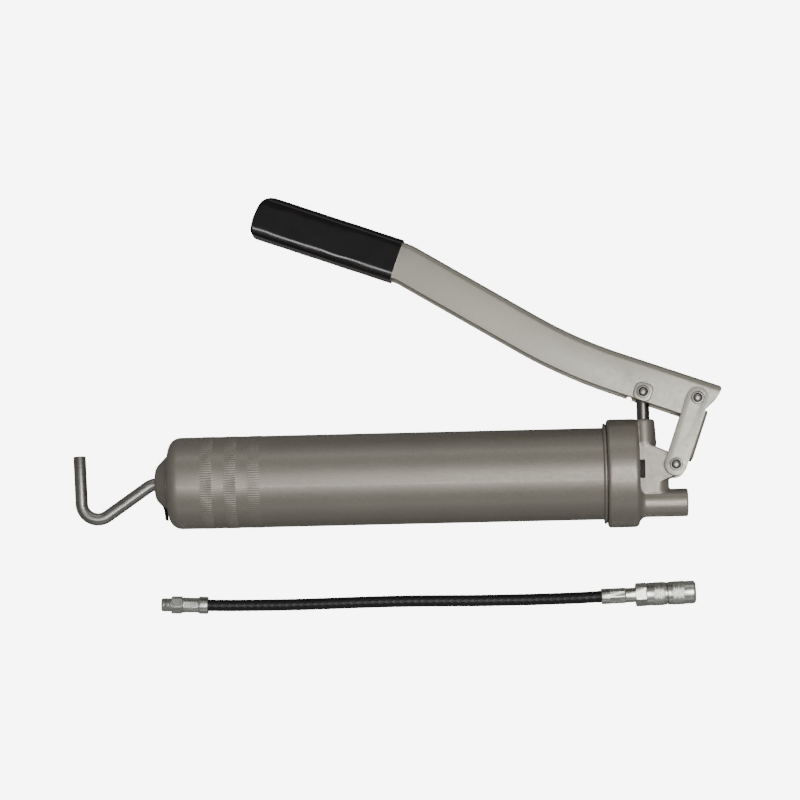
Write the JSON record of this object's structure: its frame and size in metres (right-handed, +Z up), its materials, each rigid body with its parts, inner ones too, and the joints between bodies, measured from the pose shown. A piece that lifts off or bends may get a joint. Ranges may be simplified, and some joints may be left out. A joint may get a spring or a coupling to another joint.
{
  "type": "grease gun",
  "caption": "Lever-action grease gun lying on its side, with hooked follower rod, black grip and a loose flexible hose with coupler.",
  "frame": {"origin": "under the middle of the gun, on the surface that it lies on", "axes": "+X along the barrel to the outlet, +Y towards the lever, +Z up from the surface"},
  "size_m": [0.4044, 0.2623, 0.0676],
  "materials": {
    "barrel_paint": "warm grey metallic paint, satin",
    "lever_paint": "light warm grey metallic paint, satin",
    "bright_steel": "bright drawn steel",
    "zinc_plate": "bright zinc plate",
    "spring_steel": "oiled spring steel",
    "dark_steel": "blackened steel",
    "black_vinyl": "glossy black dipped vinyl",
    "black_rubber": "matt black rubber",
    "hose_cover": "black textile-textured hose cover"
  },
  "bodies": {
    "head": {"pump_head": "barrel_paint", "barrel_gasket": "black_rubber", "gland_seal": "black_rubber", "check_valve_spring": "spring_steel", "check_valve_retainer": "zinc_plate"},
    "check_valve": {"check_valve_ball": "bright_steel"},
    "plunger": {"plunger_rod": "bright_steel", "plunger_pin": "bright_steel", "plunger_clip_near": "bright_steel", "plunger_clip_far": "bright_steel"},
    "lever": {"lever_channel": "lever_paint", "lever_grip": "black_vinyl", "lever_bush_near": "lever_paint", "lever_bush_far": "lever_paint"},
    "link": {"link_channel": "lever_paint", "link_lower_pin": "bright_steel", "link_upper_pin": "bright_steel", "link_lower_clip_near": "bright_steel", "link_lower_clip_far": "bright_steel", "link_upper_clip_near": "bright_steel", "link_upper_clip_far": "bright_steel"},
    "barrel": {"barrel_tube": "barrel_paint", "rear_cap": "barrel_paint", "rod_guide_bush": "dark_steel", "follower_spring": "spring_steel", "rod_lock_spring": "spring_steel"},
    "rod_lock": {"rod_lock_plate": "dark_steel"},
    "follower": {"follower_cup": "black_rubber", "follower_front_plate": "zinc_plate", "follower_back_plate": "zinc_plate"},
    "rod": {"follower_rod": "bright_steel", "rod_nut": "zinc_plate"},
    "hose": {"hose_end_fitting": "zinc_plate", "hose_end_ferrule": "zinc_plate", "hose_tube": "hose_cover", "coupler_ferrule": "zinc_plate", "coupler_body": "zinc_plate", "coupler_seal": "black_rubber", "coupler_jaw_1": "bright_steel", "coupler_jaw_2": "bright_steel", "coupler_jaw_3": "bright_steel"},
    "coupler_sleeve": {"coupler_sleeve": "zinc_plate"}
  },
  "joints": [
    {"name": "valve_lift", "type": "slide", "parent": "head", "child": "check_valve", "axis": [0.9998, 0, 0.0193], "range_m": [0, 0.0015], "stiffness_N_per_m": 100, "springref_m": -0.001, "deforming": ["check_valve_spring"]},
    {"name": "plunger_slide", "type": "slide", "parent": "head", "child": "plunger", "axis": [0.0021, 0.9944, -0.1061], "range_m": [-0.0115, 0.0152]},
    {"name": "lever_pivot", "type": "hinge", "parent": "plunger", "child": "lever", "pos_m": [0.15286, -0.02289, 0.02875], "axis": [-0.0192, 0.1061, 0.9942], "range_deg": [-25, 19]},
    {"name": "link_pivot", "type": "hinge", "parent": "head", "child": "link", "pos_m": [0.17181, -0.06818, 0.03395], "axis": [-0.0192, 0.1061, 0.9942], "range_deg": [-2.9, 3.8]},
    {"name": "barrel_release", "type": "slide", "parent": "head", "child": "barrel", "axis": [-0.9998, 0, -0.0193], "range_m": [0, 0.05]},
    {"name": "lock_tilt", "type": "hinge", "parent": "barrel", "child": "rod_lock", "pos_m": [-0.14636, -0.06167, 0.02711], "axis": [-0.0192, 0.1061, 0.9942], "range_deg": [0, 1.6], "stiffness_Nm_per_rad": 1, "springref_deg": -1.72, "deforming": ["rod_lock_spring"]},
    {"name": "follower_slide", "type": "slide", "parent": "barrel", "child": "follower", "axis": [-0.9998, 0, -0.0193], "range_m": [0, 0.185], "stiffness_N_per_m": 150, "springref_m": -0.15, "deforming": ["follower_spring"]},
    {"name": "rod_turn", "type": "hinge", "parent": "follower", "child": "rod", "pos_m": [0.13846, -0.07211, 0.03372], "axis": [0.9998, 0, 0.0193], "continuous": true},
    {"name": "hose_lift", "type": "slide", "parent": "head", "child": "hose", "axis": [0, 0, 1], "range_m": [0, 0.1]},
    {"name": "sleeve_turn", "type": "hinge", "parent": "hose", "child": "coupler_sleeve", "pos_m": [0.16689, -0.14878, 0.0075], "axis": [0.9997, 0.0262, 0], "continuous": true}
  ],
  "couplings": [
    {"joint": "plunger_slide", "follows": "lever_pivot", "m_per_rad": -0.0344},
    {"joint": "link_pivot", "follows": "lever_pivot", "ratio": -0.15}
  ]
}
